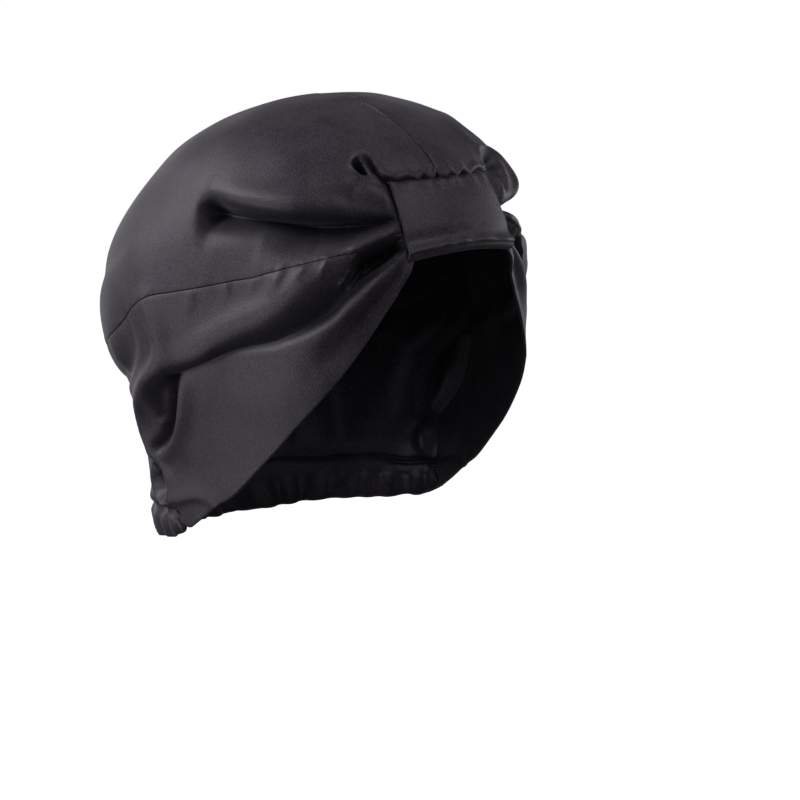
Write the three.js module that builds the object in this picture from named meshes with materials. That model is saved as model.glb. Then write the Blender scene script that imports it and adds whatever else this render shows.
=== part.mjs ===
// A black satin bandana hat: a gathered turban cap with a knot loop at the forehead and an
// elastic casing at the nape. Millimetres, +Z up, the wearer faces -Y and their left is +X.
// The origin is on the inside of the crown, where the top of the head bears.
//
// The cloth follows one smooth form, given by a table of level sections. Panel edges, seams
// and folds are routes drawn on that form by azimuth (degrees round from the forehead towards
// the right ear) and height. Each panel is a grid between its routes, pushed in and out by the
// folds and given a thickness.
import * as THREE from "three";

// Driving dimensions
const WALL = 1.6; // two layers of satin
const SEAM_GAP = 0.3; // between two panels at a seam
const CENTRE_Z = -90; // height of the head's centre
const FORM_RADIANS = [0, 45, 90, 135, 180].map(THREE.MathUtils.degToRad);

// The knot loop on the forehead. Its face stands off the form by liftTop and liftBottom, and the
// cloth in it lies flat as far as flatTo, and is free again from freeFrom, beyond its side edges.
const LOOP = {
  centreX: 3, halfWidth: 28, topZ: -32, bottomZ: -63, arch: 3, returnZ: -38, wall: 1.6,
  turnRadius: 3.1, liftTop: 0.8, liftBottom: 4.2, clearance: 0.85, flatTo: 3, freeFrom: 8,
};
const ROLL = { height: 3.2, startZ: -30.5, endZ: -26, fadeZ: -12, fade: 9 };

// The loop sits a little to the left, so routes on the left are shifted round by this many
// degrees. The shift grows until growTo and fades out from fadeFrom to fadeTo.
const LEFT_SHIFT = { degrees: 4.5, growTo: 16, fadeFrom: 20, fadeTo: 60 };

// The elastic casing at the nape and the gathers that it draws into the cloth above it.
const CASING = { firstColumn: 26, wall: 2.6, rows: 4, puff: 1.5, pleats: 34, pleatDepth: 0.6 };
const GATHERS = {
  startDegrees: 118, fullDegrees: 140, topZ: -150, fullZ: -198, pleats: 9, depth: 3, leftTurn: 4,
};

const SATIN = { color: 0x232126, roughness: 0.38, metalness: 0 };

// The form: radius at five bearings from the forehead round to the nape, level by level.
const LEVELS = [
  { z: 1.6, front: 0, temple: 0, side: 0, rear: 0, back: 0 },
  { z: -0.6, front: 10, temple: 13, side: 20, rear: 28, back: 30 },
  { z: -5.6, front: 27, temple: 32, side: 40, rear: 47, back: 49 },
  { z: -14.6, front: 50, temple: 52, side: 58, rear: 68, back: 74 },
  { z: -27.6, front: 66, temple: 68, side: 70, rear: 86, back: 96 },
  { z: -45.6, front: 78, temple: 77, side: 78, rear: 101, back: 115 },
  { z: -69.6, front: 88, temple: 83, side: 82, rear: 114, back: 131 },
  { z: -99.6, front: 91, temple: 85, side: 83, rear: 121, back: 139 },
  { z: -129.6, front: 90, temple: 84, side: 81, rear: 120, back: 140 },
  { z: -159.6, front: 88, temple: 81, side: 77, rear: 110, back: 127 },
  { z: -189.6, front: 84, temple: 78, side: 73, rear: 102, back: 115 },
  { z: -224.6, front: 78, temple: 72, side: 68, rear: 95, back: 104 },
];

// Routes on the form, as [azimuth, height], from the forehead to the middle of the back.
const ROUTES = {
  hem: [[0, -56], [11, -57], [16, -60], [19, -67], [21, -76], [28, -93], [35, -109], [45, -128],
    [54, -142], [63, -155], [73, -167], [86, -182], [96, -190], [107, -200], [112, -203], [116, -197],
    [124, -198], [140, -200], [160, -202], [180, -203]],
  casingHem: [[110, -206.5], [120, -213], [130, -216.5], [145, -220], [160, -222], [180, -223]],
  lowBand: [[0, -54.5], [11, -55.5], [18, -57.5], [21, -62], [28, -77], [37, -91], [52, -115], [64, -130],
    [77, -144], [90, -152], [104, -158], [120, -164], [140, -168], [160, -171], [180, -173]],
  lipFold: [[0, -53], [13, -54], [19, -57.5], [27, -67], [34, -74.5], [44, -88], [51, -94.5],
    [64, -103], [75, -107], [84, -111.5], [92, -117], [102, -125], [120, -136], [140, -146], [160, -152],
    [180, -155]],
  underLip: [[0, -52], [13, -53], [19, -54.5], [27, -61], [34, -67], [44, -78], [51, -83], [64, -90],
    [75, -95], [84, -99], [92, -104], [102, -111], [120, -124], [140, -137], [160, -145], [180, -148]],
  sideSeam: [[0, -50], [18, -51.5], [26, -56], [34, -60.5], [46, -64.5], [57, -69], [72, -75.5],
    [89, -82], [104, -88], [112, -92], [117, -98], [123, -109], [133, -121], [148, -131], [165, -138],
    [180, -140]],
  belowFold: [[0, -46], [17, -47.5], [36, -52], [54, -55], [74, -59], [95, -64], [120, -74],
    [150, -88], [180, -98]],
  longFold: [[0, -44], [17, -45], [36, -46], [54, -45], [74, -46], [95, -48], [120, -56],
    [150, -68], [180, -76]],
  aboveFold: [[0, -42], [17, -43], [36, -42], [54, -40], [74, -40], [95, -40], [120, -48],
    [150, -58], [180, -66]],
  topPleat: [[0, -36], [14, -34], [24, -29], [33, -25], [45, -21], [65, -20], [90, -22],
    [120, -28], [150, -36], [180, -42]],
  crownSeam: [[0, -31], [0, -18], [0, -8], [0, -2.5], [0, 0.4], [180, 0.6], [180, -1.5],
    [180, -5], [180, -10]],
};

// Panels run between routes, with a number of rows of cloth from each route to the next.
const PANELS = [
  { name: "crown", routes: ["sideSeam", "belowFold", "longFold", "aboveFold", "topPleat", "crownSeam"],
    rows: [3, 3, 2, 2, 5] },
  { name: "side_band", routes: ["hem", "lowBand", "lipFold", "underLip", "sideSeam"],
    rows: [4, 4, 2, 2] },
];
const COLUMNS = 34; // from the forehead to the back
const FRONT_CROWDING = 1.25; // above 1, columns stand closer together at the forehead

// Folds: a crease along a route, its depth and the half widths above and below it in mm, at the
// route's start, middle and end. A negative depth is a ridge. left is the share of the depth
// that the fold has on the left side of the hat.
const FOLDS = [
  { name: "long fold", route: [[18, -46.3], [34, -46.5], [57, -47.5], [71, -48], [92, -47.7]],
    depth: [4, 8, 11], above: [3, 4, 6], below: [5, 9, 12], left: 0.9 },
  { name: "fold under the seam lip", route: [[19, -57.5], [27, -67], [34, -74.5], [44, -88],
      [51, -94.5], [64, -103], [75, -107], [84, -111.5], [92, -117], [102, -125]],
    depth: [7, 11, 5], above: [5, 8, 4], below: [5, 5, 5], left: 0.9 },
  { name: "upper lobe", route: [[25, -36], [36, -34], [52, -32]],
    depth: [-4, -3, 0], above: [5, 8, 10], below: [5, 7, 9], left: 1.1 },
  { name: "pleat at the loop's corner", route: [[22, -30.5], [26, -26.5], [30, -23], [33, -22]],
    depth: [4, 4, 2], above: [3, 3, 4], below: [3, 3, 4], left: 1.2 },
  { name: "back ridge", route: [[109, -99], [110, -113], [113, -126], [119, -140], [123, -152],
      [122, -172]],
    depth: [-2, -5, -5], above: [8, 8, 8], below: [7, 7, 7], left: 0.8 },
  { name: "pocket behind the band", route: [[104, -127], [106, -139], [110, -152], [117, -167]],
    depth: [5, 9, 5], above: [5, 6, 6], below: [5, 6, 6], left: 0.7 },
  { name: "hollow at the back", route: [[134, -122], [131, -134], [127, -143], [128, -158],
      [131, -172]],
    depth: [2, 8, 5], above: [8, 9, 9], below: [8, 9, 9], left: 0.8 },
  { name: "fold above the casing", route: [[96, -192], [105, -192], [118, -197], [132, -200]],
    depth: [0, 3, 3], above: [6, 6, 6], below: [5, 5, 5], left: 1 },
];

const smooth = (low, high, x) => THREE.MathUtils.smoothstep(x, low, high);

// Cosine terms of a row's outline, so that the form is smooth all the way round.
const cosineMatrix = FORM_RADIANS.map((a) => FORM_RADIANS.map((_, k) => Math.cos(k * a)));

function solve(matrix, values) {
  const rows = matrix.map((row, i) => [...row, values[i]]);
  rows.forEach((_, i) => {
    const pivot = rows.slice(i).reduce((a, b) => (Math.abs(b[i]) > Math.abs(a[i]) ? b : a));
    const at = rows.indexOf(pivot);
    [rows[i], rows[at]] = [rows[at], rows[i]];
    rows.forEach((row, j) => {
      if (j === i) return;
      const share = row[i] / rows[i][i];
      row.forEach((x, k) => {
        row[k] = x - share * rows[i][k];
      });
    });
  });
  return rows.map((row, i) => row.at(-1) / row[i]);
}

const RADII = ["front", "temple", "side", "rear", "back"];
const meanRadius = (level) => RADII.reduce((sum, name) => sum + level[name], 0) / RADII.length;

// The knots run down the form; one mirrored knot above the top keeps the crown smooth there.
const knots = LEVELS.map((level) => [level.z, ...solve(cosineMatrix, RADII.map((n) => level[n]))]);
const distances = [0];
LEVELS.slice(1).forEach((level, i) => {
  const above = LEVELS[i];
  const step = Math.hypot(level.z - above.z, meanRadius(level) - meanRadius(above));
  distances.push(distances[i] + step);
});
knots.unshift(knots[1].map((x, k) => (k ? -x : x)));
const knotAt = [-distances[1], ...distances];
const FORM_END = distances.at(-1);

const slopes = knots.slice(1).map((row, i) =>
  row.map((x, k) => (x - knots[i][k]) / (knotAt[i + 1] - knotAt[i])),
);
const tangents = knots.map((row, i) => {
  if (i === 0) return slopes[0];
  if (i === knots.length - 1) return slopes.at(-1);
  const before = knotAt[i] - knotAt[i - 1];
  const after = knotAt[i + 1] - knotAt[i];
  return row.map((_, k) => (slopes[i - 1][k] * after + slopes[i][k] * before) / (before + after));
});

// Height and radius of the form at an azimuth (radians), a distance down from the top.
function heightAndRadius(azimuth, down) {
  let i = knotAt.length - 2;
  while (i > 0 && knotAt[i] > down) i -= 1;
  const h = knotAt[i + 1] - knotAt[i];
  const u = (down - knotAt[i]) / h;
  const [a, b, c, d] = [
    2 * u ** 3 - 3 * u ** 2 + 1,
    (u ** 3 - 2 * u ** 2 + u) * h,
    3 * u ** 2 - 2 * u ** 3,
    (u ** 3 - u ** 2) * h,
  ];
  const at = (k) => a * knots[i][k] + b * tangents[i][k] + c * knots[i + 1][k] + d * tangents[i + 1][k];
  const radius = FORM_RADIANS.reduce((sum, _, k) => sum + at(k + 1) * Math.cos(k * azimuth), 0);
  return [at(0), radius];
}

// The distance down the form at which isAbove stops being true. The search goes past the form's
// last level, because the casing hangs a little lower.
const SEARCH_PAST_END = 1.25;
const SEARCH_STEPS = 36;

function bisect(isAbove) {
  let low = 0;
  let high = FORM_END * SEARCH_PAST_END;
  for (let n = 0; n < SEARCH_STEPS; n += 1) {
    const middle = (low + high) / 2;
    if (isAbove(middle)) low = middle;
    else high = middle;
  }
  return (low + high) / 2;
}

function pointAt(azimuth, down) {
  const [z, radius] = heightAndRadius(azimuth, down);
  return new THREE.Vector3(-radius * Math.sin(azimuth), -radius * Math.cos(azimuth), z);
}

function onForm([degrees, z]) {
  const azimuth = THREE.MathUtils.degToRad(degrees);
  return pointAt(azimuth, bisect((down) => heightAndRadius(azimuth, down)[0] > z));
}

// The point of the form in a direction from the head's centre.
function towards(direction) {
  const azimuth = Math.atan2(-direction.x, -direction.y);
  const flat = Math.hypot(direction.x, direction.y);
  const isAbove = (down) => {
    const [z, radius] = heightAndRadius(azimuth, down);
    return (z - CENTRE_Z) * flat > direction.z * radius;
  };
  return pointAt(azimuth, bisect(isAbove));
}

const fromCentre = (p) => new THREE.Vector3(p.x, p.y, p.z - CENTRE_Z).normalize();
const outward = (p) => new THREE.Vector3(p.x, p.y, Math.max(p.z - CENTRE_Z, 0)).normalize();

// Routes are drawn for the right side. On the left the loop reaches further round, so that a
// route near it starts further round too.
function drawnFor(side, [degrees, z]) {
  if (side === "right") return [degrees, z];
  const grown = smooth(0, LEFT_SHIFT.growTo, degrees);
  const faded = 1 - smooth(LEFT_SHIFT.fadeFrom, LEFT_SHIFT.fadeTo, degrees);
  return [degrees + LEFT_SHIFT.degrees * grown * faded, z];
}

// A route as a smooth curve of directions from the head's centre.
const curveOf = (route, side = "right") => new THREE.CatmullRomCurve3(
  route.map((place) => fromCentre(onForm(drawnFor(side, place)))), false, "catmullrom", 0.5,
);
const ribsOf = (side) => Object.fromEntries(
  Object.entries(ROUTES).map(([name, route]) => [name, curveOf(route, side)]),
);
const ribs = { right: ribsOf("right"), left: ribsOf("left") };

const FOLD_STEPS = 36;
const creasesOf = (side) => FOLDS.map((fold) => {
  const points = curveOf(fold.route, side).getSpacedPoints(FOLD_STEPS).map(towards);
  const acrosses = points.map((p, i) => {
    const along = points[Math.min(i + 1, FOLD_STEPS)].clone().sub(points[Math.max(i - 1, 0)]);
    return along.cross(outward(p)).normalize();
  });
  return { ...fold, points, acrosses };
});
const creases = { right: creasesOf("right"), left: creasesOf("left") };

function alongFold([start, middle, end], share) {
  if (share < 0.5) return THREE.MathUtils.lerp(start, middle, 2 * share);
  return THREE.MathUtils.lerp(middle, end, 2 * share - 1);
}

// How far a fold pushes a point of the form outwards.
function push(crease, p) {
  let nearest = 0;
  crease.points.forEach((q, i) => {
    if (q.distanceToSquared(p) < crease.points[nearest].distanceToSquared(p)) nearest = i;
  });
  const share = nearest / FOLD_STEPS;
  const away = p.clone().sub(crease.points[nearest]);
  const side = away.dot(crease.acrosses[nearest]) > 0 ? crease.above : crease.below;
  return -alongFold(crease.depth, share) * Math.exp(-away.lengthSq() / alongFold(side, share) ** 2);
}

// Two sines of unlike lengths make the pleats uneven.
const wave = (degrees, pleats) => {
  const turn = THREE.MathUtils.degToRad(degrees) * pleats;
  return Math.sin(turn) + 0.5 * Math.sin(1.7 * turn + 1);
};
const degreesOf = (p) => THREE.MathUtils.radToDeg(Math.atan2(-p.x, -p.y));

// How far the loop's face stands off the form at a height.
const liftAt = (z) => THREE.MathUtils.mapLinear(
  z, LOOP.topZ, LOOP.bottomZ, LOOP.liftTop, LOOP.liftBottom,
);

// At the forehead the cloth lies flat in the loop and rolls over the loop's upper edge.
function forehead(p, free, side) {
  if (p.y > 0) return free;
  const beyondLoop = -p.x - LOOP.halfWidth + (side === "left" ? -LOOP.centreX : LOOP.centreX);
  const underLoop = (1 - smooth(LOOP.flatTo, LOOP.freeFrom, beyondLoop)) *
    (1 - smooth(ROLL.startZ, ROLL.endZ, p.z));
  const seat = liftAt(p.z) - LOOP.wall - LOOP.clearance;
  const roll = ROLL.height * smooth(ROLL.startZ, ROLL.endZ, p.z) *
    (1 - smooth(ROLL.endZ, ROLL.fadeZ, p.z)) *
    (1 - smooth(0, ROLL.fade, beyondLoop));
  return THREE.MathUtils.lerp(free, seat, underLoop) + roll;
}

// Everything that moves the cloth off the form, at a point drawn on the right side.
function relief(p, side) {
  const degrees = degreesOf(p);
  const folds = creases[side].reduce(
    (sum, crease) => sum + push(crease, p) * (side === "left" ? crease.left : 1), 0,
  );
  const gathered = smooth(GATHERS.startDegrees, GATHERS.fullDegrees, degrees) *
    (1 - smooth(GATHERS.fullZ, GATHERS.topZ, p.z));
  const turned = side === "left" ? degrees + GATHERS.leftTurn : degrees;
  const gathers = GATHERS.depth * gathered * wave(turned, GATHERS.pleats);
  return forehead(p, folds + gathers, side);
}

// A closed wall from a grid of points and the way out at each of them.
function wall(points, outs, thickness) {
  const rows = points.length;
  const columns = points[0].length;
  const positions = [];
  points.forEach((row) => row.forEach((p) => positions.push(p.x, p.y, p.z)));
  points.forEach((row, i) =>
    row.forEach((p, j) => {
      const q = p.clone().addScaledVector(outs[i][j], -thickness);
      positions.push(q.x, q.y, q.z);
    }),
  );
  const outer = (i, j) => i * columns + j;
  const inner = (i, j) => rows * columns + i * columns + j;
  const index = [];
  const quad = (a, b, c, d) => index.push(a, c, b, a, d, c);
  for (let i = 0; i < rows - 1; i += 1) {
    for (let j = 0; j < columns - 1; j += 1) {
      quad(outer(i, j), outer(i + 1, j), outer(i + 1, j + 1), outer(i, j + 1));
      quad(inner(i, j), inner(i, j + 1), inner(i + 1, j + 1), inner(i + 1, j));
    }
  }
  for (let i = 0; i < rows - 1; i += 1) {
    quad(outer(i, 0), inner(i, 0), inner(i + 1, 0), outer(i + 1, 0));
    quad(outer(i + 1, columns - 1), inner(i + 1, columns - 1), inner(i, columns - 1), outer(i, columns - 1));
  }
  for (let j = 0; j < columns - 1; j += 1) {
    quad(outer(0, j + 1), inner(0, j + 1), inner(0, j), outer(0, j));
    quad(outer(rows - 1, j), inner(rows - 1, j), inner(rows - 1, j + 1), outer(rows - 1, j + 1));
  }
  const geometry = new THREE.BufferGeometry();
  geometry.setAttribute("position", new THREE.Float32BufferAttribute(positions, 3));
  geometry.setIndex(index);
  geometry.computeVertexNormals();
  return geometry;
}

// A direction between ribs: share v of the way up through curves placed at the given shares.
function between(curves, places, u, v) {
  const values = curves.map((curve) => curve.getPointAt(u));
  const last = places.length - 1;
  let i = 0;
  while (i < last - 1 && v > places[i + 1]) i += 1;
  const tangent = (k) => {
    const [a, b] = [Math.max(k - 1, 0), Math.min(k + 1, last)];
    return values[b].clone().sub(values[a]).divideScalar(places[b] - places[a]);
  };
  const h = places[i + 1] - places[i];
  const t = (v - places[i]) / h;
  return values[i].clone().multiplyScalar(2 * t ** 3 - 3 * t ** 2 + 1)
    .addScaledVector(tangent(i), (t ** 3 - 2 * t ** 2 + t) * h)
    .addScaledVector(values[i + 1], 3 * t ** 2 - 2 * t ** 3)
    .addScaledVector(tangent(i + 1), (t ** 3 - t ** 2) * h);
}

// Moves the first or last item of a line of points inwards along the line by half the gap.
function trim(line, first, amount) {
  const [edge, next] = first ? [line[0], line[1]] : [line.at(-1), line.at(-2)];
  const inwards = next.clone().sub(edge).normalize();
  edge.addScaledVector(inwards, amount);
}

const columnShare = (i) => (i / COLUMNS) ** FRONT_CROWDING;

function panel({ name, routes, rows }, side) {
  const curves = routes.map((route) => ribs[side][route]);
  const count = rows.reduce((a, b) => a + b, 0);
  const places = [0];
  rows.forEach((row, k) => places.push(places[k] + row / count));
  const points = [];
  for (let i = 0; i <= COLUMNS; i += 1) {
    const u = columnShare(i);
    const line = [];
    for (let j = 0; j <= count; j += 1) line.push(towards(between(curves, places, u, j / count)));
    trim(line, true, SEAM_GAP / 2);
    trim(line, false, SEAM_GAP / 2);
    points.push(line);
  }
  const outs = points.map((line) => line.map(outward));
  points.forEach((line, i) => line.forEach((p, j) => {
    p.addScaledVector(outs[i][j], relief(p, side));
    p.x = Math.min(p.x, -SEAM_GAP / 2);
    if (p.x > -WALL) outs[i][j].x = 0;
  }));
  const geometry = wall(points, outs, WALL);
  if (side === "left") mirror(geometry);
  return mesh(`${name}_${side}`, geometry);
}

// The point of the form at a distance across from the middle and a height. Each round starts
// from the radius that the last one found.
const FRONT_ROUNDS = 6;

function frontPoint(x, z) {
  let degrees = 0;
  for (let n = 0; n < FRONT_ROUNDS; n += 1) {
    const p = onForm([degrees, z]);
    degrees = THREE.MathUtils.radToDeg(Math.asin(-x / Math.hypot(p.x, p.y)));
  }
  return onForm([degrees, z]);
}

// The knot loop: down the forehead, round its lower edge and up again behind the gathers.
function knotLoop() {
  const acrossSteps = 12;
  const faceSteps = 7;
  const turnSteps = 4;
  const returnSteps = 4;
  const points = [];
  const outs = [];
  for (let i = 0; i <= acrossSteps; i += 1) {
    const share = 1 - (2 * i) / acrossSteps;
    const x = LOOP.centreX - share * LOOP.halfWidth;
    const turnZ = LOOP.bottomZ - LOOP.arch * share ** 2 + LOOP.turnRadius;
    const line = [];
    const ways = [];
    const add = (z, angle) => {
      const p = frontPoint(x, z);
      const out = outward(p);
      const down = new THREE.Vector3(0, 0, -1).addScaledVector(out, out.z).normalize();
      const way = out.clone().multiplyScalar(Math.cos(angle)).addScaledVector(down, Math.sin(angle));
      const middle = p.addScaledVector(out, liftAt(z) - LOOP.turnRadius);
      line.push(middle.addScaledVector(way, LOOP.turnRadius));
      ways.push(way);
    };
    for (let j = 0; j <= returnSteps; j += 1) {
      add(THREE.MathUtils.lerp(LOOP.returnZ, turnZ, j / returnSteps), Math.PI);
    }
    for (let j = 1; j < turnSteps; j += 1) add(turnZ, Math.PI * (1 - j / turnSteps));
    for (let j = 0; j <= faceSteps; j += 1) {
      add(THREE.MathUtils.lerp(turnZ, LOOP.topZ, j / faceSteps), 0);
    }
    points.push(line);
    outs.push(ways);
  }
  points.reverse();
  outs.reverse();
  return mesh("knot_loop", wall(points, outs, LOOP.wall));
}

// The casing at the nape, from behind one ear round to the other. It takes the side bands'
// columns, so that the two edges at the seam match.
function napeCasing() {
  const bottom = curveOf(ROUTES.casingHem);
  const first = columnShare(CASING.firstColumn);
  const half = [];
  for (let i = CASING.firstColumn; i <= COLUMNS; i += 1) {
    const u = columnShare(i);
    const top = ribs.right.hem.getPointAt(u);
    const low = bottom.getPointAt((u - first) / (1 - first));
    const line = [];
    for (let j = 0; j <= CASING.rows; j += 1) {
      line.push(towards(low.clone().lerp(top, j / CASING.rows)));
    }
    trim(line, false, SEAM_GAP);
    half.push(line);
  }
  const flip = (p) => new THREE.Vector3(-p.x, p.y, p.z);
  const points = [...half, ...half.slice(0, -1).reverse().map((line) => line.map(flip))];
  const outs = points.map((line) => line.map(outward));
  points.forEach((line, i) => line.forEach((p, j) => {
    const side = i < half.length ? "right" : "left";
    const seen = side === "left" ? flip(p) : p;
    const puff = CASING.puff * Math.sin((Math.PI * j) / CASING.rows);
    const pleat = CASING.pleatDepth * wave(degreesOf(seen), CASING.pleats);
    const offSeam = 1 - j / CASING.rows;
    p.addScaledVector(outs[i][j], relief(seen, side) + puff + pleat * offSeam);
  }));
  return mesh("nape_casing", wall(points, outs, CASING.wall));
}

function mirror(geometry) {
  geometry.scale(-1, 1, 1);
  const { array } = geometry.index;
  for (let i = 0; i < array.length; i += 3) [array[i + 1], array[i + 2]] = [array[i + 2], array[i + 1]];
}

function mesh(name, geometry) {
  const made = new THREE.Mesh(geometry, new THREE.MeshStandardMaterial(SATIN));
  made.name = name;
  return made;
}

const hat = new THREE.Group();
for (const side of ["right", "left"]) PANELS.forEach((shape) => hat.add(panel(shape, side)));
hat.add(knotLoop(), napeCasing());

export default hat;
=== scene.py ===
# A black satin bandana hat in the shape that it has when worn, over a plain pale floor.
# Shapes are worked out in millimetres and become metres when a mesh is made. The hat's front
# faces -Y and the wearer's left is +X.
import math

import bpy
import numpy as np
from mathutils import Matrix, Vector, noise


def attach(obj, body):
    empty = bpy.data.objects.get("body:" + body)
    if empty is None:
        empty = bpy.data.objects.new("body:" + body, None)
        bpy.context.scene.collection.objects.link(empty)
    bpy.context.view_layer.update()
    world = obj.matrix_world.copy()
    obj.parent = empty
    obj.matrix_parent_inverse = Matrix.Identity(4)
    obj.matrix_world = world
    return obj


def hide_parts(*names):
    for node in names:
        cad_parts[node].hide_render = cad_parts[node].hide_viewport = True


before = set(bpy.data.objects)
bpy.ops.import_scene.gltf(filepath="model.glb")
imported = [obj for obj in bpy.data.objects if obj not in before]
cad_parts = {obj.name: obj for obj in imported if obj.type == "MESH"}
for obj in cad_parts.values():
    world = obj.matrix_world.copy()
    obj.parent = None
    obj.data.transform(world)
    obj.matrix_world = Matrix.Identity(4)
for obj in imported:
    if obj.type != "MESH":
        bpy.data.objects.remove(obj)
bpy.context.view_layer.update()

MM = 0.001
CENTRE = np.array([0.0, 0.0, -90.0])  # the form's centre, which routes are seen from
WALL = 1.3  # two layers of satin
BEARINGS = np.radians([0, 45, 90, 135, 180])

# The tapes inside the seams: their distance from the cloth, their thickness and the azimuth from
# which the side seams have one.
TAPE = dict(gap=0.15, wall=0.6, start=52)

# How finely lines are worked out, and how far down the form's outline runs on past its last level.
BISECT_ROUNDS = 34
OUTLINE_END = 1.25
FRONT_ROUNDS = 6
CURVE_STEPS = 40  # between two places of a route
FOLD_LINE_POINTS = 90
HEM_POINTS = 600

# The knot loop on the forehead. Its face stands off the form by lift_top and lift_bottom, and the
# cloth under it lies clearance below its inner side.
LOOP = dict(centre_x=3.0, half_width=28.5, top_z=-29.5, bottom_z=-62.6, arch=3.2, return_z=-38.0,
            wall=1.5, turn_radius=3.1, lift_top=0.4, lift_bottom=4.0, clearance=1.2)
LOOP_GRID = dict(across=110, face=80, turn=24, back=30)

# The loop reaches further round on the left, so routes there are shifted round by this many
# degrees. The shift grows until grow_to and fades out from fade_from to fade_to.
LEFT_SHIFT = dict(degrees=4.5, grow_to=16, fade_from=20, fade_to=60)

# Level sections of the form: height, then the radius at the forehead, temple, side, rear, nape.
LEVELS = np.array([
    (1.6, 0, 0, 0, 0, 0),
    (-0.6, 10, 13, 20, 28, 30),
    (-5.6, 27, 32, 40, 47, 49),
    (-14.6, 50, 52, 58, 68, 74),
    (-27.6, 66, 68, 70, 86, 96),
    (-45.6, 78, 77, 78, 101, 115),
    (-69.6, 88, 83, 82, 116, 132),
    (-99.6, 91, 85, 83, 125, 141),
    (-129.6, 90, 84, 81, 122, 140),
    (-159.6, 88, 81, 77, 110, 127),
    (-189.6, 84, 78, 73, 102, 115),
    (-224.6, 78, 72, 68, 95, 104),
])

# Routes on the form, as (azimuth, height), from the forehead to the middle of the back.
ROUTES = dict(
    hem=[(0, -56), (11, -57), (15, -60), (17.5, -68), (21, -78), (28, -94), (35, -110), (45, -129),
         (54, -143), (63, -156), (73, -168), (86, -183), (96, -191), (107, -202), (111, -205.5),
         (114, -203), (116.5, -198), (124, -199), (140, -200), (160, -202), (180, -203)],
    casing_hem=[(111, -206), (120, -213), (130, -216.5), (145, -220), (160, -222), (180, -223)],
    low_band=[(0, -54.5), (11, -55.5), (17, -60), (21, -66), (28, -80), (37, -96), (52, -118),
              (64, -132), (77, -146), (90, -155), (104, -163), (114, -170), (124, -173), (140, -175),
              (160, -176), (180, -177)],
    lip_fold=[(0, -53), (13, -54), (19, -57.5), (27, -67), (34, -74.5), (44, -88), (51, -94.5),
              (64, -103), (75, -107), (84, -111.5), (92, -117), (102, -125), (120, -136),
              (140, -146), (160, -152), (180, -155)],
    side_seam=[(0, -50), (18, -52), (24, -55), (29, -57.5), (34, -60.5), (38, -61.8), (46, -64.5),
               (57, -69), (72, -75.8), (81, -78.8), (89, -82), (97, -85), (104.4, -88), (110, -90.5),
               (115, -95.5), (119, -102), (123, -109.5), (128.5, -116.5), (136, -123), (148, -131),
               (165, -138), (180, -140)],
    long_fold=[(0, -44), (17, -46), (36, -46.5), (54, -47.5), (74, -48), (95, -48), (120, -56),
               (150, -68), (180, -76)],
    top_pleat=[(0, -36), (14, -34), (24, -29), (33, -25), (45, -21), (65, -20), (90, -22),
               (120, -28), (150, -36), (180, -42)],
    crown_seam=[(0, -31), (0, -18), (0, -8), (0, -2.5), (0, 0.4), (180, 0.6), (180, -1.5),
                (180, -5), (180, -10)],
)

# Panels run between routes, with a number of rows of cloth from each route to the next.
PANELS = dict(
    crown=(["side_seam", "long_fold", "top_pleat", "crown_seam"], [54, 36, 60]),
    side_band=(["hem", "low_band", "lip_fold", "side_seam"], [50, 42, 44]),
)
COLUMNS = 290
FRONT_CROWDING = 1.3  # above 1, columns lie closer together towards the forehead

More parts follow.
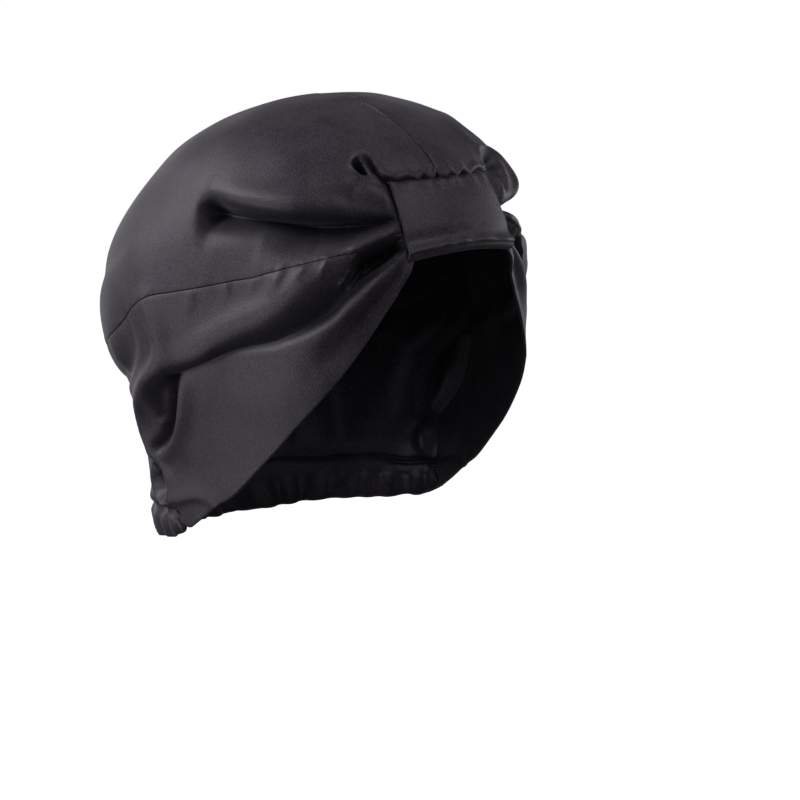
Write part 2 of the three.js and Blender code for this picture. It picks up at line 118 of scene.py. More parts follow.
# Folds. A valley has a positive depth and a ridge a negative one, and above and below are the half
# widths on each side. bulge raises the cloth just above the crease, over the width lip, and lean
# draws it down over the crease. shade is how much shade is painted into the cloth's colour inside
# a deep fold, where the fold lies in shadow. Each of these is one value, or several at evenly
# spaced stops along the route. tip is how far the fold runs on past the route's ends, and a power
# above 2 makes its section squarer. left is the share of the fold on the hat's left side, and only
# names the one side that has it. Left out, bulge, lean and shade are 0, left is 1 and lip follows
# above.
FOLDS = [
    dict(name="long fold",
         route=[(17, -46.3), (26, -46.2), (34, -46), (45, -45.8), (57, -45.8), (71, -46),
                (84, -46), (93, -45.5)],
         depth=(2.5, 5.5, 8, 8.5, 8), above=(1, 3, 4), below=(2, 7, 8), bulge=(1.5, 5, 4),
         lip=(3, 8, 9), lean=(1, 3.4, 3), tip=4.5, shade=(0.5, 0.7, 0.75, 0.75, 0.75), left=0.9),
    dict(name="broad hollow below the long fold",
         route=[(17, -47), (34, -47.5), (57, -48.5), (75, -48.5), (92, -47.5)],
         depth=(0.5, 4.5, 4.5), above=(1.5, 4, 4.6), below=(4, 13, 12), tip=6,
         shade=(0.2, 0.6, 0.4), left=0.9),
    dict(name="cloth drawn in towards the loop",
         route=[(27, -51), (36, -53), (47, -55), (58, -57), (70, -59)],
         depth=(1, 5, 6, 4, 1), above=(3, 6, 8, 8, 7), below=(2.5, 4, 7, 9, 9), tip=8, left=0.9),
    dict(name="fold under the seam lip",
         route=[(24, -63.5), (27, -67), (34, -74.5), (40, -82), (44, -88), (51, -94.5), (56, -98),
                (64, -103), (75, -107), (84, -111.5), (92, -117), (102, -125), (106.5, -130.3),
                (110.3, -136.5), (112.2, -143), (113, -150)],
         depth=(3, 5, 2.8, 1, 3.5), above=(6, 9, 7, 3.5, 3), below=(2.5, 4.5, 4.5, 3, 5),
         bulge=(1, 4, 4.6, 3.4, 3), lip=(6, 9, 9, 8, 4), lean=(1, 2, 2.5, 2.5, 2), tip=3,
         shade=(0.7, 0.6, 0.4, 0.3, 0.3), left=0.9),
    dict(name="dark throat beside the loop",
         route=[(17.5, -55.8), (23, -59.6), (28, -63.4), (32.5, -67.5), (36.5, -73)],
         depth=(9, 12, 12, 9, 4), above=(2.4, 3.6, 4.6, 5, 4), below=(3, 3.6, 4.4, 4, 2.5),
         power=4, tip=2, shade=(0.8, 0.9, 0.9, 0.8, 0.5), left=0.2),
    dict(name="panel drawn in towards the loop",
         route=[(19, -72), (26, -84), (35, -100), (46, -116)],
         depth=(2, 4, 3, 0), above=(4, 7, 10, 12), below=(4, 8, 12, 14), left=0.9),
    dict(name="edge of the throat",
         route=[(18, -51), (23, -53.4), (28.5, -56.4), (33.9, -59.6)],
         depth=(-1.5, -2.2, -1.5), above=(4, 5, 6), below=(1.4, 1.6, 1.8)),
    dict(name="soft pleat along the band",
         route=[(19, -61), (27, -73), (38, -91), (52, -108)],
         depth=(-1.2, -1.2, 0), above=(2, 3, 5), below=(2, 4, 6), left=1.1),
    dict(name="soft valley along the band",
         route=[(18.5, -66), (26, -80), (37, -101), (52, -122)],
         depth=(1.2, 1.2, 0), above=(2, 4, 6), below=(2, 4, 6), left=0.9),
    dict(name="upper lobe",
         route=[(22, -39), (30, -35), (38, -32), (52, -30)],
         depth=(-4.5, -4.5, 0), above=(6, 8, 10), below=(5, 8, 10), left=1.1),
    dict(name="middle lobe",
         route=[(20, -50), (26, -52), (33, -54), (42, -56)],
         depth=(-2.5, -1.5, 0), above=(3, 4, 6), below=(3, 4, 6), left=1.1),
    dict(name="hollow beside the upper lobe", only="right",
         route=[(31, -27.5), (34.5, -31), (36.5, -36), (36, -41)],
         depth=(1, 2, 0.8), above=4, below=3.5, shade=(0.3, 0.45, 0.2)),
    dict(name="second groove of the pleat", only="right",
         route=[(23.1, -29.7), (26, -26.2), (28.9, -22.1)],
         depth=(3, 5, 4), above=(1.1, 1.3, 1.3), below=(1.1, 1.3, 1.3)),
    dict(name="eye of the pleat", only="right",
         route=[(31.1, -26), (32.2, -24.6), (33.4, -23.2)],
         depth=(6, 9, 7), above=(1.2, 1.5, 1.4), below=(1.2, 1.5, 1.4), shade=0.9),
    dict(name="upper lip of the pleat", only="right",
         route=[(19.7, -29), (22.9, -27.6), (26.4, -23.6), (29, -20.6), (31, -20.2)],
         depth=(-1, -2, -1.4), above=(1.5, 2, 2), below=(0.9, 1.1, 1.1)),
    dict(name="lip between the grooves", only="right",
         route=[(23.6, -30.6), (28, -27), (30, -24), (31.6, -21.8), (33.4, -21), (35.2, -22.4),
                (35, -25), (32.8, -27.6), (29, -29.4), (24.4, -31), (20.2, -32.4)],
         depth=(-1, -1.8, -1.8, -1.8, -1), above=(0.9, 1, 1.1, 1, 1), below=(0.9, 1, 1.1, 1, 1)),
    dict(name="open eye of the far pleat", only="left",
         route=[(30, -37), (32, -32), (35.5, -28)],
         depth=(6, 9, 7), above=(3.4, 4.6, 4), below=(3.4, 4.6, 4), shade=0.9),
    dict(name="rim of the far pleat", only="left",
         route=[(29, -24.5), (35, -22), (42, -23), (46, -28), (46.5, -34), (43, -40), (36, -44.5)],
         depth=(-0.8, -2.6, -3.2, -2.4), above=2, below=2),
    dict(name="crown ridge",
         route=[(85, -13), (69, -10), (52, -11), (36, -16), (32, -20)],
         depth=(-0.3, -1.2, -2), above=(5, 5, 4), below=(9, 8, 5)),
    dict(name="hanging pleat under the lip",
         route=[(34.6, -63.8), (35.6, -67.2), (37.2, -71), (39.2, -75)],
         depth=(-3, -5, -2), above=(1.2, 1.5, 1.8), below=(1.2, 1.5, 1.8), tip=1.6, left=0.5),
    dict(name="groove beside the hanging pleat",
         route=[(32.8, -64.3), (33.8, -67.5), (35.4, -71.5), (37.2, -75)],
         depth=(3, 3.5, 1), above=(1, 1.2, 1.4), below=(1, 1.2, 1.4)),
    dict(name="small pleat at the hem",
         route=[(17.7, -61), (18.8, -68), (20.6, -75)],
         depth=(-2, -3.2, -1), above=(1.2, 1.4, 1.5), below=(1.2, 1.4, 1.5)),
    dict(name="groove beside the hem pleat",
         route=[(15.8, -61), (16.9, -68), (18.6, -74.5)],
         depth=(2.5, 3, 1), above=(0.9, 1.1, 1.2), below=(0.9, 1.1, 1.2)),
    dict(name="outer ridge at the back",
         route=[(113, -95), (109.5, -105), (107.5, -115), (109.5, -124), (114, -132.5),
                (119, -142), (122, -150), (123.5, -160), (122.5, -171)],
         depth=(-1.5, -4.5, -4), above=(4, 3.6, 4), below=(8, 6, 5), left=0.8),
    dict(name="valley behind the outer ridge",
         route=[(122, -95), (119.5, -106), (118.5, -117), (121.5, -128), (127, -138)],
         depth=(0.5, 3, 5), above=(9, 9, 7), below=(5, 4, 3), left=0.8),
    dict(name="pocket behind the band",
         route=[(104, -128.5), (105.5, -138), (108.2, -149), (112.5, -159.5), (118, -168)],
         depth=(6, 9, 5), above=(2.4, 2.8, 2.6), below=(1.3, 1.4, 1.5), shade=0.35, left=0.8),
    dict(name="fold edge of the band",
         route=[(101, -127), (102.5, -137), (105.5, -149), (110, -160.5), (116.5, -170)],
         depth=(-1, -2.5, -2), above=(1.5, 1.6, 1.6), below=(5, 6, 5), left=0.8),
    dict(name="hollow at the back",
         route=[(136, -120), (133, -134), (131, -147), (133, -160), (134, -172), (134, -186)],
         depth=(1, 9, 9, 7, 3), above=(16, 30, 30, 30, 30), below=(5, 6, 6, 6, 6), left=0.8),
    dict(name="small lobe's hollow",
         route=[(121.5, -178), (120.3, -182), (120.8, -189)],
         depth=(6, 8, 4), above=(2.2, 3.2, 3.5), below=(1.2, 1.4, 1.6), shade=0.5, left=0.8),
    dict(name="small lobe's outer rim",
         route=[(122.5, -176), (126.5, -183), (127.5, -189), (124.5, -194.5), (119.5, -196)],
         depth=(-1, -2.2, -2), above=(1.6, 1.8, 1.8), below=(1.2, 1.2, 1.2), left=0.8),
    dict(name="small lobe's rim",
         route=[(120.5, -174.5), (118, -178.5), (116.8, -184), (117.2, -190), (119.5, -195)],
         depth=(-1.5, -2.5, -2), above=(1.5, 1.5, 1.5), below=(3, 4, 4), left=0.8),
    dict(name="drape down the back",
         route=[(158, -60), (160, -95), (158, -125)],
         depth=(0.3, 1.6, 0.4), above=12, below=7, left=0.7),
    dict(name="drag line across the back",
         route=[(120, -62), (136, -84), (152, -104), (168, -118)],
         depth=(0.3, 1.5, 0.6), above=9, below=6, left=1.1),
    dict(name="first fold above the casing",
         route=[(148, -146), (150, -166), (149, -190)],
         depth=(0.4, 2.2, 2.6), above=(5, 4.5, 3.5), below=(4, 3, 2.5), left=0.7),
    dict(name="second fold above the casing",
         route=[(162, -156), (161, -172), (163, -190)],
         depth=(0.3, 1.8, 2.4), above=(5, 4, 3), below=(4, 3, 2.4), left=1.1),
    dict(name="third fold above the casing",
         route=[(172, -164), (173, -177), (171, -190)],
         depth=(0.3, 1.4, 2.2), above=(4, 3, 2.6), below=(3, 2.6, 2.2), left=0.6),
    dict(name="roll above the casing",
         route=[(97, -191.5), (103, -188.8), (110, -191), (118, -195.5), (126, -196.5),
                (140, -198), (160, -200), (180, -201)],
         depth=(-0.8, -3, -2.5), above=(5, 5, 4), below=(1.8, 1.8, 1.8)),
]

CREASE_WIDTH = 0.8  # how sharply a lip ends at its crease

# Short upright puckers below the side seam: azimuth, height, rise, half width and length.
BUMPS = [
    (44, -67.5, 1.2, 1.7, 7),
    (52, -70.5, 0.9, 1.6, 4),
    (61, -76, 1.2, 2.6, 7),
    (71, -79.5, 0.5, 2.2, 6),
    (83, -85, 0.45, 2.6, 9),
    (97, -93, 0.6, 2.6, 10),
]

# The loop's upper edge, where the crown rolls over it.
ROLL = dict(line_z=-29.3, height=1.2, fade=24.0, lean=1.2, pucker=0.7, spacing=9.5, wander=0.8,
            bead=0.8)

# Puckers along the seams: height, distance between them, how far they reach and how far the cloth
# sinks at the seam itself, in mm.
PUCKER = dict(height=0.2, spacing=9.5, reach=3.5, draw_in=0.35)
TRIM = 0.34  # panels stop short of the side seam and of the middle line by this
MIDDLE_REACH = 0.6  # cloth this near the middle line is level across it

# Near the loop, up to the azimuth full, the rows along the side seam take the form's own normals.
SEAM_MATCH = dict(full=42, none=56, rows=4)

# Slow undulations of the cloth, and the rounds that even out its finest ripples.
SOFTNESS = dict(size=38.0, amount=0.9)
RELAX_ROUNDS = 3

RIM_BULGE = 0.5  # how round a wall's rim is
RIM_STEPS = 3

# Gathers above the casing, which grow between two azimuths and between two heights.
GATHERS = dict(start=112, full=128, top_z=-170, full_z=-198, pleats=17, depth=1.6)

# The casing, from the azimuth start back. It hangs below the bands' hem by drop.
CASING = dict(start=112, drop=0.42, pleats=47, depth=1.5, puff=2.2, wall=1.6, rows=34,
              columns=420)

# Satin: the two tones of its grain, and the scales of the grain and of the slubs in it.
SATIN = dict(dark=(0.0122, 0.0104, 0.0145, 1), light=(0.044, 0.0375, 0.0505, 1), grain=1500,
             slub=60)

FLOOR_Z = -0.62
FLOOR_HALF = 60
FLOOR_GLOW = 0.95  # the floor is white from any side, and puts no light on the hat
CAMERA_AZIMUTH = math.radians(36)  # round from the front towards the wearer's right
CAMERA_ELEVATION = math.radians(12)
CAMERA_DISTANCE = 1600.0
PIXELS_PER_MM = 2.1
ORIGIN_PIXEL = (352, 98)  # where the photograph shows the frame's origin
IMAGE_SIZE = 800
SENSOR = 36.0

# Lights: name, bearing from the front towards the wearer's right, elevation, distance, size,
# power and spread. Bearings and elevations are in degrees and distances in metres.
LIGHTS = [
    ("key", 132, 26, 2.4, 1.0, 9.5, 80),
    ("low left", 108, -14, 2.4, 1.4, 6.5, 90),
    ("high front", -12, 60, 2.3, 1.2, 5.2, 90),
    ("front", 20, 20, 2.4, 1.3, 1.0, 90),
    ("far side", -85, 2, 2.4, 2.0, 7.5, 90),
    ("back", -172, -4, 2.4, 2.2, 2.6, 90),
]
LIGHT_AIM = Vector((0, 0, -0.1))
WORLD_STRENGTH = 0.12


def smooth(low, high, x):
    t = np.clip((np.asarray(x, float) - low) / (high - low), 0, 1)
    return t * t * (3 - 2 * t)


def unit(v):
    return v / np.maximum(np.linalg.norm(v, axis=-1, keepdims=True), 1e-9)


def dot(a, b):
    return np.sum(a * b, axis=-1)


def cubic(t, start, end, start_slope, end_slope, length=1):
    """A smooth step from start to end, with the slopes given for the length of the step."""
    return ((2 * t**3 - 3 * t**2 + 1) * start + (t**3 - 2 * t**2 + t) * length * start_slope
            + (3 * t**2 - 2 * t**3) * end + (t**3 - t**2) * length * end_slope)


# The form

def form_knots():
    """The form's outline as heights and cosine terms, at distances down from the top."""
    cosines = np.linalg.inv(np.cos(np.outer(BEARINGS, np.arange(5))))
    radii = LEVELS[:, 1:]
    steps = np.hypot(np.diff(LEVELS[:, 0]), np.diff(radii.mean(1)))
    down = np.concatenate([[0], np.cumsum(steps)])
    rows = np.column_stack([LEVELS[:, 0], radii @ cosines.T])
    mirrored = rows[1] * np.array([1, -1, -1, -1, -1, -1])
    return np.concatenate([[-down[1]], down]), np.vstack([mirrored, rows])


KNOT_AT, KNOTS = form_knots()


def knot_tangents():
    step = np.diff(KNOT_AT)[:, None]
    slope = np.diff(KNOTS, axis=0) / step
    inner = (slope[:-1] * step[1:] + slope[1:] * step[:-1]) / (step[:-1] + step[1:])
    return np.vstack([slope[:1], inner, slope[-1:]])


TANGENTS = knot_tangents()


def height_and_radius(azimuth, down):
    """Height and radius of the form at an azimuth in radians, a distance down from the top."""
    i = np.clip(np.searchsorted(KNOT_AT, down, side="right") - 1, 0, len(KNOT_AT) - 2)
    length = KNOT_AT[i + 1] - KNOT_AT[i]
    t = ((down - KNOT_AT[i]) / length)[..., None]
    row = cubic(t, KNOTS[i], KNOTS[i + 1], TANGENTS[i], TANGENTS[i + 1], length[..., None])
    waves = np.cos(azimuth[..., None] * np.arange(5))
    return row[..., 0], np.sum(row[..., 1:] * waves, axis=-1)


def bisect(azimuth, is_above):
    """How far down the form its outline stops being above something."""
    low = np.zeros_like(azimuth)
    high = np.full_like(azimuth, KNOT_AT[-1] * OUTLINE_END)
    for _ in range(BISECT_ROUNDS):
        middle = (low + high) / 2
        above = is_above(*height_and_radius(azimuth, middle))
        low = np.where(above, middle, low)
        high = np.where(above, high, middle)
    return (low + high) / 2


def point_at(azimuth, down):
    z, radius = height_and_radius(azimuth, down)
    return np.stack([-radius * np.sin(azimuth), -radius * np.cos(azimuth), z], -1)


def on_form(degrees, z):
    """The point of the form at an azimuth in degrees and a height."""
    azimuth = np.radians(np.asarray(degrees, float))
    level = np.asarray(z, float)
    return point_at(azimuth, bisect(azimuth, lambda height, radius: height > level))


def towards(direction):
    """The point of the form in a direction from its centre."""
    azimuth = np.arctan2(-direction[..., 0], -direction[..., 1])
    flat = np.hypot(direction[..., 0], direction[..., 1])
    rise = direction[..., 2]
    return point_at(azimuth, bisect(azimuth, lambda z, r: (z - CENTRE[2]) * flat > rise * r))


def drawn_for(side, route):
    """A route's azimuths and heights. Routes are given for the right side."""
    degrees, z = np.array(route, float).T
    if side == "left":
        fading = smooth(LEFT_SHIFT["fade_from"], LEFT_SHIFT["fade_to"], degrees)
        share = smooth(0, LEFT_SHIFT["grow_to"], degrees) * (1 - fading)
        degrees = degrees + LEFT_SHIFT["degrees"] * share
    return degrees, z


def curve(route, side, shares):
    """Directions from the form's centre along a route, at shares of its length."""
    places = unit(on_form(*drawn_for(side, route)) - CENTRE)
    ends = np.vstack([2 * places[0] - places[1], places, 2 * places[-1] - places[-2]])
    slopes = (ends[2:] - ends[:-2]) / 2
    at = np.linspace(0, len(places) - 1, CURVE_STEPS * (len(places) - 1) + 1)
    i = np.minimum(at.astype(int), len(places) - 2)
    line = cubic((at - i)[:, None], places[i], places[i + 1], slopes[i], slopes[i + 1])
    length = np.concatenate([[0], np.cumsum(np.linalg.norm(np.diff(line, axis=0), axis=1))])
    return np.stack([np.interp(shares * length[-1], length, line[:, k]) for k in range(3)], -1)


def panel_grid(shape, side):
    """Points of a panel on the form, columns from the forehead back and rows from low to high."""
    names, rows = PANELS[shape]
    u = np.linspace(0, 1, COLUMNS + 1) ** FRONT_CROWDING
    ribs = [curve(ROUTES[name], side, u) for name in names]
    places = np.concatenate([[0], np.cumsum(rows)]) / sum(rows)
    last = len(places) - 1

    def slope(k):
        a, b = max(k - 1, 0), min(k + 1, last)
        return (ribs[b] - ribs[a]) / (places[b] - places[a])

    lines = []
    for k, count in enumerate(rows):
        length = places[k + 1] - places[k]
        for t in np.arange(count + (k == last - 1)) / count:
            lines.append(cubic(t, ribs[k], ribs[k + 1], slope(k), slope(k + 1), length))
    return towards(np.stack(lines, axis=1))


def grid_normals(points, middle_edges=True):
    """Normals of a grid, level across the middle line where two halves meet there."""
    along = np.gradient(points, axis=0)
    across = np.gradient(points, axis=1)
    normals = unit(np.cross(across, along))
    if middle_edges:
        normals[np.abs(points[..., 0]) < MIDDLE_REACH, 0] = 0
    return unit(normals)


# Folds

def stops(values, share):
    """A value along a route from evenly spaced stops, or the same value all along."""
    values = np.atleast_1d(values)
    return np.interp(share, np.linspace(0, 1, len(values)), values)


def fold_line(fold, side):
    """A fold's line on the form, the way along it and the way up from it."""
    line = towards(curve(fold["route"], side, np.linspace(0, 1, FOLD_LINE_POINTS)))
    tangents = unit(np.gradient(line, axis=0))
    outwards = unit(np.column_stack([line[:, :2], np.maximum(line[:, 2] - CENTRE[2], 0)]))
    ups = unit(np.cross(tangents, outwards))
    runs_forwards = np.mean(tangents[:, 1]) < 0
    is_upright = abs(np.mean(tangents[:, 2])) >= 0.8
    if runs_forwards and not is_upright:
        ups = -ups
    return line, tangents, ups


def near_line(points, line, reach):
    near = np.ones(points.shape[:2], bool)
    for k in range(3):
        near &= points[..., k] > line[:, k].min() - reach
        near &= points[..., k] < line[:, k].max() + reach
    return near


def place_by_line(points, line, tangents, ups):
    """For each point the nearest point of a line and its share of the line's length, and how far
    the point is above the line and past its ends."""
    gaps = points[:, None, :] - line[None, :, :]
    nearest = np.argmin(np.sum(gaps**2, -1), axis=1)
    away = gaps[np.arange(len(points)), nearest]
    slide = dot(away, tangents[nearest])
    step = np.linalg.norm(line[1] - line[0])
    last = len(line) - 1
    before = (nearest == 0) & (slide <= 0)
    beyond = (nearest == last) & (slide >= 0)
    past = np.where(before | beyond, np.abs(slide), 0)
    share = np.clip((nearest + np.clip(slide / step, -1, 1)) / last, 0, 1)
    return nearest, share, dot(away, ups[nearest]), past


def fold_shift(fold, side, points, normals):
    """How a fold moves the points of a panel, and how much shade it paints into the colour there."""
    line, tangents, ups = fold_line(fold, side)
    near = near_line(points, line, 3 * max(np.max(fold["above"]), np.max(fold["below"])) + 12)
    shift = np.zeros_like(points)
    shade = np.zeros(points.shape[:2])
    if not near.any():
        return shift, shade
    nearest, share, offset, past = place_by_line(points[near], line, tangents, ups)
    above = stops(fold["above"], share)
    below = stops(fold["below"], share)
    width = np.where(offset > 0, above, below)
    tip = fold.get("tip", np.maximum((above + below) / 2, 2))
    ends = np.exp(-((past / tip) ** 2))
    valley = np.exp(-(np.abs(offset / width) ** fold.get("power", 2))) * ends
    fade = np.sin(np.pi * np.clip(share, 0.04, 0.96)) ** 0.5
    lip_width = stops(fold["lip"], share) if "lip" in fold else 1.1 * above
    lip = np.exp(-(((np.maximum(offset, 0) - 1.5 * above) / lip_width) ** 2)) * ends * fade
    lip = lip * np.exp(-((np.minimum(offset, 0) / CREASE_WIDTH) ** 2))
    cover = np.exp(-(((offset - 0.8 * above) / (0.9 * above)) ** 2)) * ends * fade
    out = stops(fold.get("bulge", 0), share) * lip - stops(fold["depth"], share) * valley
    drawn = stops(fold.get("lean", 0), share) * cover
    shift[near] = normals[near] * out[:, None] - ups[nearest] * drawn[:, None]
    # painted shade: the cloth's colour is darkened inside the fold's valley, where the fold is in
    # shadow
    shade[near] = stops(fold.get("shade", 0), share) * valley
    return shift * (fold.get("left", 1) if side == "left" else 1), shade


def pucker_fold(azimuth, z, rise, half_width, length):
    route = [(azimuth - 1, z + length / 2), (azimuth, z), (azimuth + 1, z - length / 2)]
    return dict(name="pucker", route=route, depth=(-rise, -rise, -rise / 2), above=half_width,
                below=half_width, left=0.8)


def pleat_wave(x, seed):
    """An uneven wave along x, one crest about every unit."""
    turn = 2 * np.pi * np.asarray(x)
    uneven = 0.9 * np.sin(0.31 * turn + seed) + 0.5 * np.sin(0.173 * turn + 2.1 * seed)
    size = 0.75 + 0.35 * np.sin(0.23 * turn + 1.7 * seed)
    return np.sin(turn + uneven) * size


def azimuth_of(points):
    return np.degrees(np.arctan2(-points[..., 0], -points[..., 1]))


def lift_at(z):
    """How far the loop's face stands off the form at a height."""
    share = (z - LOOP["top_z"]) / (LOOP["bottom_z"] - LOOP["top_z"])
    return LOOP["lift_top"] + share * (LOOP["lift_bottom"] - LOOP["lift_top"])


def beyond_loop(points, side):
    """How far points are out past the loop's side edge."""
    centre = LOOP["centre_x"] if side == "right" else -LOOP["centre_x"]
    return -points[..., 0] - LOOP["half_width"] + centre


def hold_by_loop(shift, base, normals, side):
    """Lays the cloth flat under the loop and rolls it over the loop's upper edge."""
    free = smooth(0.5, 6, beyond_loop(base, side))
    wave = pleat_wave(base[..., 0] / ROLL["spacing"], 1.0 if side == "right" else 2.3)
    rise = base[..., 2] - ROLL["line_z"] - ROLL["wander"] * wave
    above = smooth(-0.4, 0.4, rise)
    front = base[..., 1] < 0
    seat = lift_at(base[..., 2]) - LOOP["wall"] - LOOP["clearance"]
    held = np.where(front, (1 - free) * (1 - above), 0)[..., None]
    shift = shift * (1 - held) + normals * seat[..., None] * held
    hump = smooth(-0.5, 1.5, rise) * (1 - smooth(3.0, ROLL["fade"], rise))
    bead = ROLL["bead"] * np.exp(-(((rise - 1.3) / 1.1) ** 2))
    ripple = ROLL["pucker"] * wave * np.exp(-((np.maximum(rise, 0) / 3.5) ** 2)) * above
    over = np.where(front, 1 - smooth(-3, 8, beyond_loop(base, side)), 0)
    raised = over * (ROLL["height"] * hump + bead + ripple)
    down = np.array([0, -0.25, -0.95]) * ROLL["lean"]
    edge = np.where(front, np.exp(-(((rise - 1) / 2.5) ** 2)) * (1 - free), 0)[..., None]
    return shift + normals * raised[..., None] + down * edge


def fold_panel(base, normals, side):
    """A panel with its folds, and how far painted shade darkens its colour at each point."""
    folds = [fold for fold in FOLDS if fold.get("only", side) == side]
    folds = folds + [pucker_fold(*bump) for bump in BUMPS]
    shifts, shades = zip(*[fold_shift(fold, side, base, normals) for fold in folds])
    # light is the painted shade factor: 1 where no shade is painted, less inside the folds
    light = np.prod([1 - shade for shade in shades], axis=0)
    return base + hold_by_loop(sum(shifts), base, normals, side), light


def gather(points, normals, side):
    """Draws the foot of a band into upright pleats above the casing."""
    degrees = azimuth_of(points)
    reach = smooth(GATHERS["start"], GATHERS["full"], degrees)
    reach = reach * (1 - smooth(GATHERS["full_z"], GATHERS["top_z"], points[..., 2]))
    seed = 0.4 if side == "right" else 1.9
    wave = pleat_wave(degrees / 360 * GATHERS["pleats"], seed)
    return points + normals * (GATHERS["depth"] * reach * wave)[..., None]


def pucker(points, normals, edge, seed, height, start):
    """Puckers along one edge of a panel: 'low' or 'high' rows."""
    row = points[:, 0] if edge == "low" else points[:, -1]
    along = np.concatenate([[0], np.cumsum(np.linalg.norm(np.diff(row, axis=0), axis=1))])
    from_edge = np.linalg.norm(points - row[:, None, :], axis=-1)
    wave = pleat_wave(along / PUCKER["spacing"], seed)
    fine = pleat_wave(along / PUCKER["spacing"] * 2.7, seed + 1.3)
    reach = PUCKER["reach"] * (1 + 0.5 * np.sin(along / 17 + seed))[:, None]
    wide = np.exp(-(((from_edge - 0.6 * reach) / (0.7 * reach)) ** 2))
    near = np.exp(-(((from_edge - 1.2) / 1.3) ** 2))
    strength = height * PUCKER["height"] * (smooth(start, start + 25, along))[:, None]
    draw_in = PUCKER["draw_in"] * np.exp(-((from_edge / 1.1) ** 2))
    out = strength * (0.7 * wave[:, None] * wide + 0.8 * fine[:, None] * near) - draw_in
    return points + normals * out[..., None]


def relax(points):
    """Evens out the finest ripples of a grid, and leaves its edges where they are."""
    for _ in range(RELAX_ROUNDS):
        around = points[:-2, 1:-1] + points[2:, 1:-1] + points[1:-1, :-2] + points[1:-1, 2:]
        points[1:-1, 1:-1] = (points[1:-1, 1:-1] + around / 4) / 2
    return points


def soften(points, seed):
    """Slow, shallow undulations of limp cloth."""
    flat = points.reshape(-1, 3)
    shift = Vector((seed, 0, 0))
    scaled = flat / SOFTNESS["size"]
    values = np.array([noise.fractal(Vector(p) + shift, 1.0, 2.0, 2) for p in scaled])
    return values.reshape(points.shape[:2]) * SOFTNESS["amount"]


# Meshes

def shell(name, points, normals, thickness, light=None):
    """A closed wall: the outer grid, an inner grid behind it and a rounded rim between them."""
    columns, rows = points.shape[:2]
    inner = points - normals * thickness
    number = np.arange(columns * rows).reshape(columns, rows)
    ring = np.concatenate([number[:, 0], number[-1, 1:], number[-2::-1, -1], number[0, -2:0:-1]])
    inside = np.concatenate([number[:, 1], number[-2, 1:], number[-2::-1, -2],
                             number[1, -2:0:-1]])
    inside[columns - 1] = number[-2, 1]
    flat = points.reshape(-1, 3)
    back = inner.reshape(-1, 3)
    outwards = unit(flat[ring] - flat[inside])
    normal = normals.reshape(-1, 3)[ring]
    outwards = unit(outwards - normal * dot(outwards, normal)[:, None])
    middle = (flat[ring] + back[ring]) / 2
    count = columns * rows
    verts = [flat, back]
    for k in range(1, RIM_STEPS + 1):
        angle = math.pi * k / (RIM_STEPS + 1)
        bulge = outwards * math.sin(angle) * RIM_BULGE
        verts.append(middle + (normal * math.cos(angle) + bulge) * thickness / 2)
    a, b = number[:-1, :-1].ravel(), number[1:, :-1].ravel()
    c, d = number[1:, 1:].ravel(), number[:-1, 1:].ravel()
    faces = [np.column_stack([a, d, c, b]), np.column_stack([a, b, c, d]) + count]
    around = np.arange(len(ring))
    loops = [ring] + [2 * count + k * len(ring) + around for k in range(RIM_STEPS)]
    loops.append(ring + count)
    for one, two in zip(loops, loops[1:]):
        faces.append(np.column_stack([one, np.roll(one, -1), np.roll(two, -1), two]))
    made = make_mesh(name, np.vstack(verts), np.vstack(faces))
    # The outer points carry the painted shade of the folds, a factor that darkens the colour; the
    # inner side and the rim get none.
    reach = np.ones(sum(len(part) for part in verts))
    if light is not None:
        reach[:count] = light.ravel()
    made.data.attributes.new("painted_shade_factor", "FLOAT", "POINT").data.foreach_set("value", reach)
    return made


def make_mesh(name, verts, faces):
    mesh = bpy.data.meshes.new(name)
    mesh.from_pydata((verts * MM).tolist(), [], faces.tolist())
    mesh.update()
    mesh.polygons.foreach_set("use_smooth", [True] * len(mesh.polygons))
    made = bpy.data.objects.new(name, mesh)
    bpy.context.scene.collection.objects.link(made)
    return made


def dress(made, satin, stands_for=None):
    """Gives a piece its cloth and its body, and hides the CAD node that it stands for."""
    made.data.materials.append(satin)
    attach(made, "root")
    if stands_for:
        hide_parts(stands_for)


def mirror(points):
    return points * np.array([-1.0, 1.0, 1.0])


def trim(points, row, inner):
    """Moves an edge row towards the inner row by TRIM."""
    points[:, row] += unit(points[:, inner] - points[:, row]) * TRIM


def keep_to_side(points):
    """Draws a panel back from the middle line by TRIM, less and less further from it."""
    x = np.minimum(points[..., 0], 0)
    points[..., 0] = x - TRIM * np.exp(x / 2)
    return points


def seam_normals(shape, base, base_normals, points):
    """Normals of a folded panel, which by the loop match its neighbour's along the side seam."""
    rows = np.arange(points.shape[1])
    if shape == "side_band":
        rows = rows[::-1]
    by_loop = 1 - smooth(SEAM_MATCH["full"], SEAM_MATCH["none"], azimuth_of(base))
    share = (np.exp(-((rows / SEAM_MATCH["rows"]) ** 2))[None, :] * by_loop)[..., None]
    return unit(grid_normals(points) * (1 - share) + base_normals * share)


